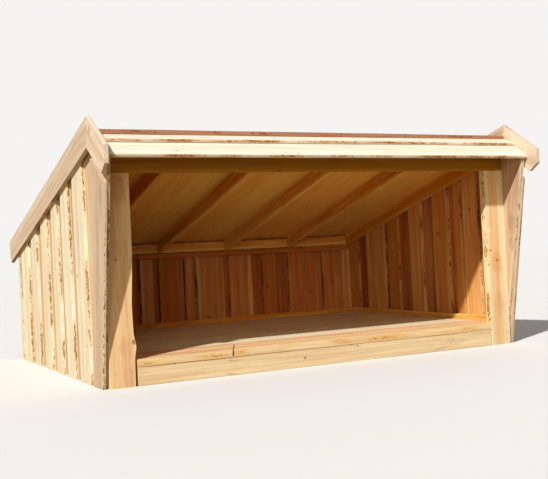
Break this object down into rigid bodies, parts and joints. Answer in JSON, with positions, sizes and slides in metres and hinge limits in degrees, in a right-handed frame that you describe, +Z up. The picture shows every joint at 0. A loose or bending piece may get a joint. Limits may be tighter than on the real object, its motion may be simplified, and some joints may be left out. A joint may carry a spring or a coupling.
{
  "type": "open-fronted timber lean-to shelter",
  "caption": "Open-fronted timber lean-to of waney sawn boards on posts, with a raised plank floor, a short front visor, a long rear roof slope and barge boards.",
  "frame": {"origin": "on the ground, in the middle of the roof's plan outline", "axes": "+X along the front to the right seen from the open front, +Y to the low rear, +Z up"},
  "size_m": [3.76, 3.329, 1.9156],
  "materials": {
    "larch_pale": "fresh sawn softwood boards with bark edges, pale cream to honey",
    "larch_shaded_wall": "fresh sawn softwood boards, honey to red-brown",
    "rough_sawn_floor": "rough sawn planks, worn grey-brown",
    "frame_timber": "sawn softwood, honey coloured",
    "ceiling_boarding": "close-laid sawn boards, ochre",
    "roof_boarding": "sawn boards with reddish-brown bark edges",
    "barge_boarding": "sawn boards, cream to greyish tan"
  },
  "bodies": {
    "root": {"left_wall_outer_boards": "larch_pale", "right_wall_outer_boards": "larch_pale", "left_wing_outer_board": "larch_pale", "right_wing_outer_board": "larch_pale", "left_post": "larch_pale", "right_post": "larch_pale", "eave_board": "larch_pale", "visor_board": "larch_pale", "left_wall_inner_boards": "larch_shaded_wall", "right_wall_inner_boards": "larch_shaded_wall", "left_wing_inner_board": "larch_shaded_wall", "right_wing_inner_board": "larch_shaded_wall", "rear_wall_inner_boards": "larch_shaded_wall", "rear_wall_outer_boards": "larch_shaded_wall", "rear_left_post": "larch_shaded_wall", "rear_right_post": "larch_shaded_wall", "front_floor_boards_left": "rough_sawn_floor", "front_floor_boards_right": "rough_sawn_floor", "floor_boards": "rough_sawn_floor", "front_bearer": "frame_timber", "floor_joists": "frame_timber", "header_beam": "frame_timber", "rafter_1": "frame_timber", "rafter_2": "frame_timber", "rafter_3": "frame_timber", "rafter_4": "frame_timber", "rafter_5": "frame_timber", "rafter_6": "frame_timber", "visor_rafters": "frame_timber", "rear_rim_beam": "frame_timber", "rear_wall_plate": "frame_timber", "rear_bottom_rail": "frame_timber", "left_bottom_rail": "frame_timber", "right_bottom_rail": "frame_timber", "rear_eave_batten": "frame_timber", "ceiling_boards": "ceiling_boarding", "rear_roof_boards": "roof_boarding", "ridge_board": "roof_boarding", "left_rear_barge_board": "barge_boarding", "left_front_barge_board": "barge_boarding", "right_rear_barge_board": "barge_boarding", "right_front_barge_board": "barge_boarding"}
  },
  "joints": []
}
